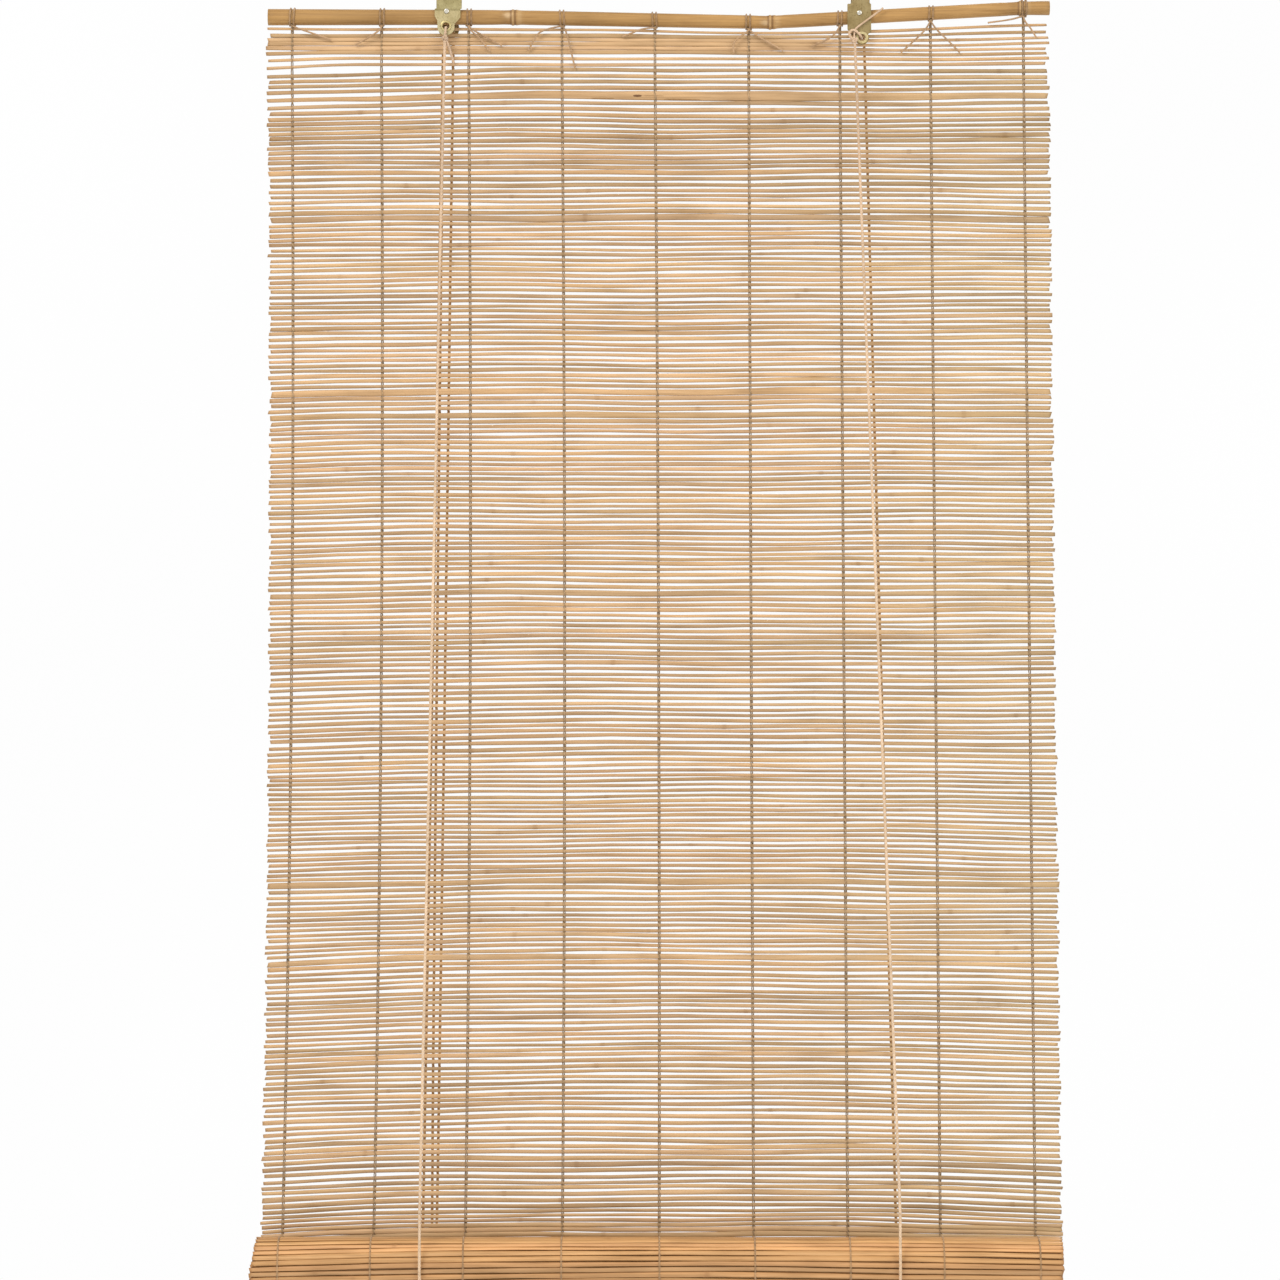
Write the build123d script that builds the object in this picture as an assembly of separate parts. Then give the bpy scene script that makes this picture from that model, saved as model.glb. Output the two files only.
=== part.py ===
from build123d import *
import math
import os

# Bamboo roll-up blind, half raised: a bent cane at the top in two folded
# brackets, a mat of split-bamboo slats tied with nine warp threads, the
# lower half of the mat wound up in front, and two lift cords that run from
# the front of the brackets, under the roll, up behind the mat, over small
# sheaves behind the cane and down again as two pull cords.
# Millimetres. X to the right, Y to the back, Z up. The origin is midway
# between the two hang holes, on the upper face of the brackets.

# ---------------------------------------------------------------- dimensions
BRACKET_X = 158.0            # brackets at -BRACKET_X and +BRACKET_X
SHEET = 1.0                  # bracket sheet thickness
FRONT_Y = -6.4               # back face of the front cheeks
INNER_Y = 6.4                # front face of the inner cheeks
HANG_HOLE_R = 2.25
RIVET_R = 1.5
RIVET_HEAD_R = 2.05
AXLE_Z = -28.0
AXLE_R = 1.5
SHEAVE_BORE = 1.55
SHEAVE_GROOVE_R = 2.5
SHEAVE_RIM_R = 5.0
SHEAVE_W = 4.2
SHEAVE1_Y = 9.8              # inner sheaves
SHEAVE2_Y = 14.3             # outer sheave of the left bracket
CORD_R = 1.2
CORD_TURN = 3.9              # cord centre line on a sheave
CORNER = 3.88

LEFT_EYE = (-159.3, -31.2)   # eyelets, X and Z
RIGHT_EYE = (159.7, -40.1)
EYE_R = 3.3                  # holes in the cheeks for the eyelets
EYE_BORE = 2.75
LEFT_RIVET = (-158.9, -19.5)  # rivets, X and Z
RIGHT_RIVET = (157.8, -20.8)

# the cane: X, Z of its centre line and its radius at ends, nodes and bends
CANE = [(-296.4, -22.7, 6.3), (-108.1, -22.9, 5.75), (89.4, -26.7, 5.15),
        (281.6, -15.9, 5.2), (304.3, -15.6, 5.4)]
CANE_BORE = 3.0
CANE_BORE_DEPTH = 55.0

SLAT_T = 1.4                 # slat thickness
MAT_LEFT, MAT_RIGHT = -296.0, 305.0
TOP_SLATS = 8
TOP_END_Z = -61.5            # first level slat
SLATS = 220
WIDE_SLAT = 4                # one broad level slat, counted from the top
MAT_BOW = 3.6                # the left edge is drawn in this far at half height
WARP_X = [-277.6, -209.0, -142.0, -70.4, 1.0, 73.0, 143.0, 212.6, 284.0]       # at the cane
WARP_LOW_X = [-279.6, -211.0, -142.0, -69.0, 3.9, 75.0, 145.8, 215.4, 286.8]   # at the roll
WARP_ARC = 5000.0
WARP_R = 0.45
WARP_Y = 1.17

ROLL_Y, ROLL_Z = -26.1, -974.5
ROLL_R, ROLL_GROOVE_R = 24.2, 23.0
ROLL_LOBES = 36
ROLL_LEFT, ROLL_RIGHT = -301.0, 304.5
CORE_R = 4.2

BIGHT_X = (-174.0, 182.5)
BIGHT_FRONT_Y, BIGHT_REAR_Y = -51.9, 3.4
RUN_FRONT, RUN_REAR = 40.0, 20.0

PULL_KNOT = (-165.9, 12.5, -990.0)

os.makedirs("parts", exist_ok=True)


def save(shape, name):
    export_step(shape, "parts/" + name + ".step")


def rnd(i, k):
    v = math.sin(i * 12.9898 + k * 78.233) * 43758.5453
    return v - math.floor(v)


def cane_at(x):
    pts = CANE
    for a, b in zip(pts, pts[1:]):
        if x <= b[0] or b is pts[-1]:
            t = (x - a[0]) / (b[0] - a[0])
            return (a[1] + t * (b[1] - a[1]), a[2] + t * (b[2] - a[2]))


def rod(a, b, r):
    # straight round bar from point a to point b
    va, vb = Vector(*a), Vector(*b)
    d = vb - va
    return Solid.make_cylinder(r, d.length, Plane(origin=va, z_dir=d.normalized()))


def tube(points, radii, r):
    # round cord along straight runs joined by tangent arcs
    path = FilletPolyline(*points, radius=radii)
    d = (Vector(*points[1]) - Vector(*points[0])).normalized()
    sec = Plane(origin=points[0], z_dir=d) * Circle(r)
    return sweep(sec, path=path)


def y_plate(sketch, y0, t):
    # plate lying in X-Z, from y0 to y0 + t; the sketch is drawn in X and Z
    pl = Plane(origin=(0, y0 + t, 0), x_dir=(1, 0, 0), z_dir=(0, -1, 0))
    return extrude(pl * sketch, t)


def y_rod(x, z, y0, y1, r):
    return rod((x, y0, z), (x, y1, z), r)


# ---------------------------------------------------------------- brackets
def rect(x0, z0, x1, z1):
    return Pos((x0 + x1) / 2, (z0 + z1) / 2) * Rectangle(x1 - x0, z1 - z0)


def bracket(cx, x0, x1, front, rear_y, pin, eye):
    # folded stirrup: front cheek, bridge over the cane from x0 to x1, rear cheek
    f = y_plate(front, FRONT_Y - SHEET, SHEET)
    rear = rect(max(cx - 8, x0), -25, min(cx + 8, x1), -0.0) + Pos(cx, -28) * Circle(8.0)
    b = y_plate(rear, rear_y, SHEET)
    y0, y1 = FRONT_Y - SHEET, rear_y + SHEET
    bridge = Pos((x0 + x1) / 2, (y0 + y1) / 2, -SHEET / 2) * Box(x1 - x0, y1 - y0, SHEET)
    s = f + b + bridge
    outer = [e for e in s.edges() if e.geom_type == GeomType.LINE
             and abs(e.center().Z) < 1e-6
             and (abs(e.center().Y - y0) < 1e-6 or abs(e.center().Y - y1) < 1e-6)
             and abs(e.tangent_at(0).X) > 0.9]
    s = fillet(outer, 0.9)
    s -= Pos(cx, 0, -SHEET / 2) * Cylinder(HANG_HOLE_R, 4 * SHEET)
    s -= y_rod(pin[0], pin[1], FRONT_Y - 3, FRONT_Y + 3, RIVET_R)
    s -= y_rod(cx, AXLE_Z, rear_y - 2, rear_y + 3, AXLE_R)
    s -= y_rod(eye[0], eye[1], FRONT_Y - 3, FRONT_Y + 3, EYE_R)
    return s


def outline(points, round_at, radius):
    # flat outline with some of its corners rounded
    f = make_face(Polyline(*points, close=True))
    corners = [v for v in f.vertices()
               if any(abs(v.X - x) + abs(v.Y - z) < 1e-6 for x, z in round_at)]
    return fillet(corners, radius)


# the left cheek has shoulders and a tongue round its eyelet, and its upper
# part stands a little to the right of its lower part
LEFT_NECK = (-166.7, -147.2)
shoulders = [(-167.95, -23.4), (-165.9, -26.9), (-148.3, -24.6), (-152.7, -29.4)]
left_front = outline([(LEFT_NECK[0], 0), (LEFT_NECK[0], -17.2), (-167.95, -17.8), shoulders[0],
                      shoulders[1], (-165.9, -31.6), (-152.7, -31.6), shoulders[3], shoulders[2],
                      (-148.3, -17.8), (LEFT_NECK[1], -17.2), (LEFT_NECK[1], 0)], shoulders, 1.3)
left_front = left_front + Pos(LEFT_EYE[0], -31.6) * Circle(6.6)

# the right cheek has a narrower neck and a sloping lower edge
RIGHT_NECK = (152.2, 165.7)
ends = [(148.6, -33.6), (150.4, -35.4), (164.6, -37.2), (166.8, -35.2), (148.6, -13.8)]
right_front = outline([(RIGHT_NECK[0], 0), (RIGHT_NECK[0], -12.6), (150.6, -13.8), ends[4], ends[0],
                       ends[1], ends[2], ends[3], (166.8, -14.1), (RIGHT_NECK[1], -13.2),
                       (RIGHT_NECK[1], 0)], ends, 0.7)
right_front = right_front + Pos(*RIGHT_EYE) * Circle(5.4)

SIDE_PLAY = 0.3
REAR_LEFT = SHEAVE2_Y + SHEAVE_W / 2 + SIDE_PLAY
REAR_RIGHT = SHEAVE1_Y + SHEAVE_W / 2 + SIDE_PLAY
save(bracket(-BRACKET_X, *LEFT_NECK, left_front, REAR_LEFT, LEFT_RIVET, LEFT_EYE), "left_bracket")
save(bracket(BRACKET_X, *RIGHT_NECK, right_front, REAR_RIGHT, RIGHT_RIVET, RIGHT_EYE), "right_bracket")


def inner_cheek(cx, pin):
    # flat plate behind the cane, held by the rivet, carrying the axle's front end
    s = rect(cx - 6.5, -28, cx + 6.5, -17.5) + Pos(cx, -28) * Circle(6.5) \
        + rect(cx - 4.5, -18, cx + 4.5, -15.5)
    p = y_plate(s, INNER_Y, SHEET)
    p -= y_rod(pin[0], pin[1], INNER_Y - 2, INNER_Y + 3, RIVET_R)
    p -= y_rod(cx, AXLE_Z, INNER_Y - 2, INNER_Y + 3, AXLE_R)
    return p


def rivet(x, z):
    # domed head in front, shank through the cane, flat clinched tail behind
    y0, y1 = FRONT_Y - SHEET, INNER_Y + SHEET
    s = y_rod(x, z, y0 - 0.5, y1 + 0.5, RIVET_R)
    head = y_rod(x, z, y0 - 1.1, y0, RIVET_HEAD_R)
    head = fillet(head.edges().group_by(Axis.Y)[0], 0.85)
    tail = y_rod(x, z, y1, y1 + 0.9, 1.85)
    return s + head + tail


def axle(cx, rear_y):
    y0, y1 = INNER_Y, rear_y + SHEET
    s = y_rod(cx, AXLE_Z, y0 - 0.5, y1 + 0.4, AXLE_R)
    return s + y_rod(cx, AXLE_Z, y0 - 0.7, y0, 2.3) + y_rod(cx, AXLE_Z, y1, y1 + 0.9, 2.4)


def eyelet(eye, flange):
    # rolled ring in the cheek's lower hole
    y0, y1 = FRONT_Y - SHEET, FRONT_Y
    s = y_rod(eye[0], eye[1], y0 - 0.8, y1 + 0.5, EYE_R)
    f = y_rod(eye[0], eye[1], y0 - 0.8, y0, flange)
    f = fillet(f.edges().group_by(Axis.Y)[0], 0.55)
    s = s + f + y_rod(eye[0], eye[1], y1, y1 + 0.5, 4.0)
    return s - y_rod(eye[0], eye[1], y0 - 2, y1 + 2, EYE_BORE)


def sheave(cx, cy):
    # grooved wheel turning on the axle
    h = SHEAVE_W / 2
    prof = Polyline((SHEAVE_BORE, -h), (SHEAVE_RIM_R, -h), (SHEAVE_RIM_R, -h + 0.45),
                    (SHEAVE_GROOVE_R, -1.3), (SHEAVE_GROOVE_R, 1.3),
                    (SHEAVE_RIM_R, h - 0.45), (SHEAVE_RIM_R, h), (SHEAVE_BORE, h), close=True)
    body = revolve(make_face(prof), Axis.Y)
    return Pos(cx, cy, AXLE_Z) * body


for side, cx, rear, pin, eye, flange in (
        ("left", -BRACKET_X, REAR_LEFT, LEFT_RIVET, LEFT_EYE, 4.2),
        ("right", BRACKET_X, REAR_RIGHT, RIGHT_RIVET, RIGHT_EYE, 4.8)):
    save(inner_cheek(cx, pin), side + "_inner_cheek")
    save(rivet(*pin), side + "_rivet")
    save(axle(cx, rear), side + "_axle")
    save(eyelet(eye, flange), side + "_eyelet")
save(sheave(-BRACKET_X, SHEAVE1_Y), "left_inner_sheave")
save(sheave(-BRACKET_X, SHEAVE2_Y), "left_outer_sheave")
save(sheave(BRACKET_X, SHEAVE1_Y), "right_sheave")

# ---------------------------------------------------------------- cane
NODE_HALF = 1.6              # half the width of a node's ridge
cane = None
for n, (x, z, r) in enumerate(CANE[1:-1]):
    ring = Pos(x, 0, z) * Rot(0, 90, 0) * Cylinder(r + 0.75, 2 * NODE_HALF)
    ring = chamfer(ring.edges(), 0.4)
    cane = ring if cane is None else cane + ring
for n, (a, b) in enumerate(zip(CANE, CANE[1:])):
    va, vb = Vector(a[0], 0, a[1]), Vector(b[0], 0, b[1])
    d = (vb - va).normalized()
    if n > 0:
        va = va + d * (NODE_HALF / 2)
    if n < len(CANE) - 2:
        vb = vb - d * (NODE_HALF / 2)
    cane = cane + Solid.make_cone(a[2], b[2], (vb - va).length, Plane(origin=va, z_dir=d))
# the natural hollow, open at both ends
a, b = CANE[0], CANE[1]
cane = cane - rod((a[0] - 1, 0, a[1]), (a[0] + CANE_BORE_DEPTH, 0, a[1] - 0.06), CANE_BORE)
a = CANE[-1]
cane = cane - rod((a[0] + 1, 0, a[1]), (a[0] - 17.0, 0, a[1] - 0.2), 2.6)
for x, z in (LEFT_RIVET, RIGHT_RIVET):
    cane = cane - y_rod(x, z, -10, 10, RIVET_R)
save(cane, "head_cane")


# ---------------------------------------------------------------- mat
def cane_bottom(x):
    z, r = cane_at(x)
    return z - r


TOP_KNOTS = [MAT_LEFT] + [c[0] for c in CANE[1:-1]] + [MAT_RIGHT]


def top_slat(i):
    # upper slats follow the bends of the cane, less and less downwards
    t = i / TOP_SLATS
    h = 2.3 + 0.5 * (rnd(i, 21) - 0.5)
    x0 = MAT_LEFT + 4.0 * (rnd(i, 22) - 0.5)
    x1 = MAT_RIGHT - 3.0 + 4.0 * (rnd(i, 23) - 0.5)
    xs = [x0] + TOP_KNOTS[1:-1] + [x1]
    zs = [(1 - t) * (cane_bottom(x) - 2.5) + t * TOP_END_Z for x in xs]
    up = [(x, z + h / 2) for x, z in zip(xs, zs)]
    lo = [(x, z - h / 2) for x, z in zip(xs, zs)]
    return y_plate(make_face(Polyline(*(up + lo[::-1]), close=True)), -SLAT_T / 2, SLAT_T)


def bow(x, t):
    # how far the mat is drawn in at x, at a fraction t of its hanging height
    return MAT_BOW * min(max((60.0 - x) / 356.0, 0.0), 1.0) ** 0.6 * 4 * t * (1 - t)


TOP_PITCH = (1.31, 1.07, 1.17, 1.16, 1.79, 1.06, 1.36)


def slat_list():
    # centre height, slat height and both ends of every level slat
    rows, pitch = [], []
    for i in range(SLATS):
        p = 1.0 + 0.34 * (rnd(i, 1) - 0.5)
        w = 0.66 * (1.0 + 0.30 * (rnd(i, 2) - 0.5))
        if i < len(TOP_PITCH):
            p, w = TOP_PITCH[i], 1.50 if i == WIDE_SLAT else 0.68
        elif rnd(i, 3) > 0.955:
            p, w = p + 0.30, w + 0.34
        elif rnd(i, 3) < 0.05:
            p = p + 0.22
        pitch.append((p, w))
    unit = (TOP_END_Z - ROLL_Z) / sum(p for p, w in pitch)
    z = TOP_END_Z
    for i, (p, w) in enumerate(pitch):
        t = i / SLATS
        x0 = MAT_LEFT + 2.6 * (rnd(i, 4) - 0.5) + bow(MAT_LEFT, t) + 0.6 * t
        x1 = MAT_RIGHT - 2.0 + 2.6 * (rnd(i, 5) - 0.5) + 3.5 * t
        rows.append((z - 0.5 * p * unit, w * unit, x0, x1))
        z -= p * unit
    return rows


save(Compound(children=[top_slat(i) for i in range(TOP_SLATS)]), "mat_top_slats")
slats = []
for zc, h, x0, x1 in slat_list():
    slats.append(Solid.make_box(x1 - x0, SLAT_T, h, Plane((x0, -SLAT_T / 2, zc - h / 2))))
save(Compound(children=slats), "mat_slats")

for n, (x, xl) in enumerate(zip(WARP_X, WARP_LOW_X)):
    # a loop round the cane, one strand down each face of the mat
    zc, r = cane_at(x)
    g = r + 0.75
    loop = [(x, -WARP_Y, zc - g), (x, -g, zc - g), (x, -g, zc + g),
            (x, g, zc + g), (x, g, zc - g), (x, WARP_Y, zc - g)]
    low = g - WARP_Y - 0.7
    radii = [0.6, low, g - 0.02, g - 0.02, low, 0.6]
    if bow(x, 0.5) > 0.5:
        # drawn in with the mat at half height
        xm, zm = (x + xl) / 2 + bow(x, 0.5), (TOP_END_Z + ROLL_Z) / 2
        loop = [(xm, -WARP_Y, zm)] + loop + [(xm, WARP_Y, zm)]
        radii = [WARP_ARC] + radii + [WARP_ARC]
    loop = [(xl, -WARP_Y, ROLL_Z)] + loop + [(xl, WARP_Y, ROLL_Z)]
    save(tube(loop, radii, WARP_R), "warp_thread_%d" % (n + 1))

# ---------------------------------------------------------------- roll
pts = []
for i in range(ROLL_LOBES):
    a = 2 * math.pi * i / ROLL_LOBES
    w = 2 * math.pi / ROLL_LOBES
    for f, rr in ((0.02, ROLL_GROOVE_R), (0.18, ROLL_R), (0.82, ROLL_R), (0.98, ROLL_GROOVE_R)):
        pts.append((rr * math.cos(a + f * w), rr * math.sin(a + f * w)))
section = make_face(Polyline(*pts, close=True)) - Circle(CORE_R + 0.02)
pl = Plane(origin=(ROLL_LEFT, ROLL_Y, ROLL_Z), x_dir=(0, 1, 0), z_dir=(1, 0, 0))
save(extrude(pl * section, ROLL_RIGHT - ROLL_LEFT), "mat_roll")
save(rod((ROLL_LEFT + 1, ROLL_Y, ROLL_Z), (ROLL_RIGHT - 1, ROLL_Y, ROLL_Z), CORE_R), "roll_core")

# ---------------------------------------------------------------- cords
for side, x in (("left", BIGHT_X[0]), ("right", BIGHT_X[1])):
    rad = (BIGHT_REAR_Y - BIGHT_FRONT_Y) / 2
    low = ROLL_Z - rad
    route = [(x, BIGHT_FRONT_Y, ROLL_Z + RUN_FRONT), (x, BIGHT_FRONT_Y, low),
             (x, BIGHT_REAR_Y, low), (x, BIGHT_REAR_Y, ROLL_Z + RUN_REAR)]
    save(tube(route, [rad - 0.03, rad - 0.03], CORD_R), side + "_cord_bight")

LEFT_TOP = (-160.0, -10.3, -43.0)
RIGHT_TOP = (154.15, -10.3, -44.8)
save(rod(LEFT_TOP, (BIGHT_X[0], BIGHT_FRONT_Y, ROLL_Z + RUN_FRONT + 0.12), CORD_R), "left_front_leg")
save(rod(RIGHT_TOP, (BIGHT_X[1], BIGHT_FRONT_Y, ROLL_Z + RUN_FRONT + 0.12), CORD_R), "right_front_leg")

LX, RX = -BRACKET_X, BRACKET_X
save(rod((LX - CORD_TURN, SHEAVE1_Y, AXLE_Z), (BIGHT_X[0], BIGHT_REAR_Y, ROLL_Z + RUN_REAR + 0.12),
         CORD_R), "left_rear_leg")
save(rod((RX + CORD_TURN, SHEAVE1_Y, AXLE_Z), (BIGHT_X[1], BIGHT_REAR_Y, ROLL_Z + RUN_REAR + 0.12),
         CORD_R), "right_rear_leg")
zt = AXLE_Z + CORD_TURN
save(tube([(LX - CORD_TURN, SHEAVE1_Y, AXLE_Z + 0.01), (LX - CORD_TURN, SHEAVE1_Y, zt),
           (LX + CORD_TURN, SHEAVE1_Y, zt), (LX + CORD_TURN, SHEAVE1_Y, AXLE_Z + 0.01)],
          [CORNER, CORNER], CORD_R), "left_cord_turn")
save(tube([(RX + CORD_TURN, SHEAVE1_Y, AXLE_Z + 0.01), (RX + CORD_TURN, SHEAVE1_Y, zt),
           (LX - CORD_TURN, SHEAVE2_Y, zt), (LX - CORD_TURN, SHEAVE2_Y, AXLE_Z + 0.01)],
          [CORNER, CORNER], CORD_R), "cross_cord")
kx, ky, kz = PULL_KNOT
save(tube([(LX + CORD_TURN, SHEAVE1_Y, AXLE_Z), (-163.0, 12.0, -945.0), (kx + 1.3, ky, kz + 4.2)],
          [150.0], CORD_R), "left_pull_cord")
save(tube([(LX - CORD_TURN, SHEAVE2_Y, AXLE_Z), (-168.6, 13.2, -945.0), (kx - 1.3, ky, kz + 4.2)],
          [150.0], CORD_R), "right_pull_cord")

# pull cords tied together: a round knot with two short tails
knot = Pos(kx, ky, kz) * Sphere(3.8)
knot = knot + rod((kx + 1.2, ky, kz), (kx + 2.6, ky, kz - 9.0), CORD_R) \
    + rod((kx - 1.2, ky, kz), (kx - 2.4, ky, kz - 7.5), CORD_R)
save(knot, "pull_knot")


# the ends of the front legs: a loop through the eyelet, round the edge of
# the cheek, and a knot in front
def loop_knot(eye, turn, reach, ball):
    yf, yr = FRONT_Y - SHEET / 2 - 2.7, FRONT_Y - SHEET / 2 + 2.7
    k = 2.68
    near = tube([(0, yf, -reach / 2), (0, yf, 0), (0, yr, 0), (0, yr, -reach / 2)], [k, k], CORD_R)
    far = tube([(0, yf, -reach / 2), (0, yf, -reach), (0, yr, -reach), (0, yr, -reach / 2)],
               [k, k], CORD_R)
    return Pos(eye[0], 0, eye[1]) * Rot(0, turn, 0) * (near + far + Pos(*ball) * Sphere(2.5))


save(loop_knot(LEFT_EYE, 4.0, 9.2, (0, -10.3, -9.2)), "left_cord_knot")
save(loop_knot(RIGHT_EYE, 70.0, 8.0, (0, -10.3, -6.0)), "right_cord_knot")
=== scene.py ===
import math

import bpy
import numpy as np
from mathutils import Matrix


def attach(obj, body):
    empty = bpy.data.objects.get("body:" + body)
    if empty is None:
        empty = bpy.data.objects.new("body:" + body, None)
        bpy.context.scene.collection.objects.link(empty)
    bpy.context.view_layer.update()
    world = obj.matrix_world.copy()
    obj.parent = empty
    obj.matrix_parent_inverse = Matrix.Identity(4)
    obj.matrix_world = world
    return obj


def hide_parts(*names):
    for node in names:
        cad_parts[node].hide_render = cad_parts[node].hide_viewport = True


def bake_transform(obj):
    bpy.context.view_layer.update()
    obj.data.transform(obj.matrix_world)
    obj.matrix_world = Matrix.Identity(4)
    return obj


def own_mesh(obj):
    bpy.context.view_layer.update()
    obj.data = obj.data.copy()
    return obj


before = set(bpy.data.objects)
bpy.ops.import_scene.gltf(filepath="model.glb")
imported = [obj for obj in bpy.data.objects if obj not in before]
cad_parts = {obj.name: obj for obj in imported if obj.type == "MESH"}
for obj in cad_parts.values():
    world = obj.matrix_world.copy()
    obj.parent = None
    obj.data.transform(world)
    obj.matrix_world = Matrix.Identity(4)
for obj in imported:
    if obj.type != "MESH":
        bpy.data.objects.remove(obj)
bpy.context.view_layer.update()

# A bamboo roll up blind. Lengths in this file are millimetres in the row frame, and become metres when a mesh is built.
MM = 0.001
TAU = 2 * math.pi

CANE = [(-296.4, -22.7, 6.3), (-108.1, -22.9, 5.75), (89.4, -26.7, 5.15), (281.6, -15.9, 5.2), (304.3, -15.6, 5.4)]
CANE_NODES = (-108.1, 89.4, 281.6)
SLAT_T = 1.4
MAT_LEFT, MAT_RIGHT = -296.0, 305.0
TOP_SLATS, TOP_END_Z = 8, -61.5
SLATS = 220
WIDE_SLAT = 4
MAT_BOW = 3.6
TOP_PITCH = (1.31, 1.07, 1.17, 1.16, 1.79, 1.06, 1.36)
WARP_X = (-277.6, -209.0, -142.0, -70.4, 1.0, 73.0, 143.0, 212.6, 284.0)
WARP_LOW_X = (-279.6, -211.0, -142.0, -69.0, 3.9, 75.0, 145.8, 215.4, 286.8)
ROLL_Y, ROLL_Z = -26.1, -974.5
CORD_R = 1.2


# ---------------------------------------------------------------- numbers

def rnd(i, k):
    v = math.sin(i * 12.9898 + k * 78.233) * 43758.5453
    return v - math.floor(v)


def slow(t, k):
    """A smooth wander from 0 to 1 along t."""
    i = math.floor(t)
    f = t - i
    f = f * f * (3 - 2 * f)
    return rnd(i, k) * (1 - f) + rnd(i + 1, k) * f


def lin(*rgb):
    """Linear colour from 0 to 255 values."""
    c = np.array(rgb, float) / 255
    return np.where(c <= 0.04045, c / 12.92, ((c + 0.055) / 1.055) ** 2.4)


def cane_at(x):
    xs, zs, rs = zip(*CANE)
    return np.interp(x, xs, zs), np.interp(x, xs, rs)


def bow(x, t):
    """How far the mat is drawn in at x, at a fraction t of its hanging height."""
    return MAT_BOW * min(max((60.0 - x) / 356.0, 0.0), 1.0) ** 0.6 * 4 * t * (1 - t)


def slat_list():
    """(middle height, height, left end, right end) of each flat slat, from the top."""
    pitch = []
    for i in range(SLATS):
        p = 1.0 + 0.34 * (rnd(i, 1) - 0.5)
        w = 0.66 * (1.0 + 0.30 * (rnd(i, 2) - 0.5))
        if i < len(TOP_PITCH):
            p, w = TOP_PITCH[i], 1.50 if i == WIDE_SLAT else 0.68
        elif rnd(i, 3) > 0.955:
            p, w = p + 0.30, w + 0.34
        elif rnd(i, 3) < 0.05:
            p = p + 0.22
        pitch.append((p, w))
    unit = (TOP_END_Z - ROLL_Z) / sum(p for p, w in pitch)
    z, rows = TOP_END_Z, []
    for i, (p, w) in enumerate(pitch):
        t = i / SLATS
        x0 = MAT_LEFT + 2.6 * (rnd(i, 4) - 0.5) + bow(MAT_LEFT, t) + 0.6 * t
        x1 = MAT_RIGHT - 2.0 + 2.6 * (rnd(i, 5) - 0.5) + 3.5 * t
        rows.append((z - 0.5 * p * unit, w * unit, x0, x1))
        z -= p * unit
    return rows


ROWS = slat_list()


def warp_at(n, z):
    """Where thread n crosses the mat at height z."""
    t = min(max((TOP_END_Z - z) / (TOP_END_Z - ROLL_Z), 0.0), 1.0)
    return WARP_X[n] + (WARP_LOW_X[n] - WARP_X[n]) * t + bow(WARP_X[n], t)


# ---------------------------------------------------------------- meshes

class Piece:
    """Collects strips of rings for one mesh, with a tone at each vertex and a map that lays the strips side by side."""

    def __init__(self):
        self.verts, self.tones, self.faces, self.flat, self.maps, self.rows, self.count = [], [], [], [], [], 0, 0

    def strip(self, rings, tone, folds=1, caps=True):
        """rings is (n, m, 3). tone is one colour, one a ring or one a vertex."""
        n, m = rings.shape[:2]
        tone = np.asarray(tone, float)
        if tone.ndim == 1:
            tone = np.broadcast_to(tone, (n, m, 3))
        elif tone.ndim == 2:
            tone = np.broadcast_to(tone[:, None, :], (n, m, 3))
        index = np.arange(n * m).reshape(n, m) + self.count
        a, b = index[:-1], index[1:]
        quads = np.stack([a, np.roll(a, -1, 1), np.roll(b, -1, 1), b], -1).reshape(-1, 4)
        self.faces += quads.tolist()
        self.flat += [False] * len(quads)
        per = math.ceil((n - 1) / folds)
        i = np.repeat(np.arange(n - 1), m)
        j = np.tile(np.arange(m), n - 1)
        row = i // per
        u0, u1 = (i - row * per) / per, (i - row * per + 1) / per
        v0, v1 = 0.04 + 0.92 * j / m, 0.04 + 0.92 * (j + 1) / m
        at = np.stack([np.stack([u0, self.rows + row + v0], -1), np.stack([u0, self.rows + row + v1], -1),
                       np.stack([u1, self.rows + row + v1], -1), np.stack([u1, self.rows + row + v0], -1)], 1)
        self.maps.append(at.reshape(-1, 2))
        if caps:
            for ring, u in ((index[0][::-1], 0.0), (index[-1], 1.0)):
                self.faces.append(ring.tolist())
                self.flat.append(True)
                turn = np.arange(m) / m * TAU
                self.maps.append(np.stack([np.abs(u - 0.002 * (1 + np.cos(turn))), self.rows + 0.5 + 0.3 * np.sin(turn)], -1))
        self.rows += folds
        self.verts.append(rings.reshape(-1, 3))
        self.tones.append(tone.reshape(-1, 3))
        self.count += n * m

    def build(self, name, material, body, slot, *nodes):
        me = bpy.data.meshes.new(name)
        me.from_pydata((np.concatenate(self.verts) * MM).tolist(), [], self.faces)
        tone = np.concatenate(self.tones)
        layer = me.color_attributes.new("Tone", "FLOAT_COLOR", "POINT")
        layer.data.foreach_set("color", np.concatenate([tone, np.ones((len(tone), 1))], 1).astype(np.float32).ravel())
        at = np.concatenate(self.maps)
        at[:, 1] /= self.rows
        uv = me.uv_layers.new(name="OFBake")
        uv.uv.foreach_set("vector", at.astype(np.float32).ravel())
        me.polygons.foreach_set("use_smooth", [not f for f in self.flat])
        me.materials.append(material)
        me.update()
        ob = bpy.data.objects.new(name, me)
        bpy.context.scene.collection.objects.link(ob)
        if body:
            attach(ob, body)
        if nodes:
            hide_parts(*nodes)
        return ob


def unit(v):
    return v / np.maximum(np.linalg.norm(v, axis=-1, keepdims=True), 1e-12)


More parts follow.
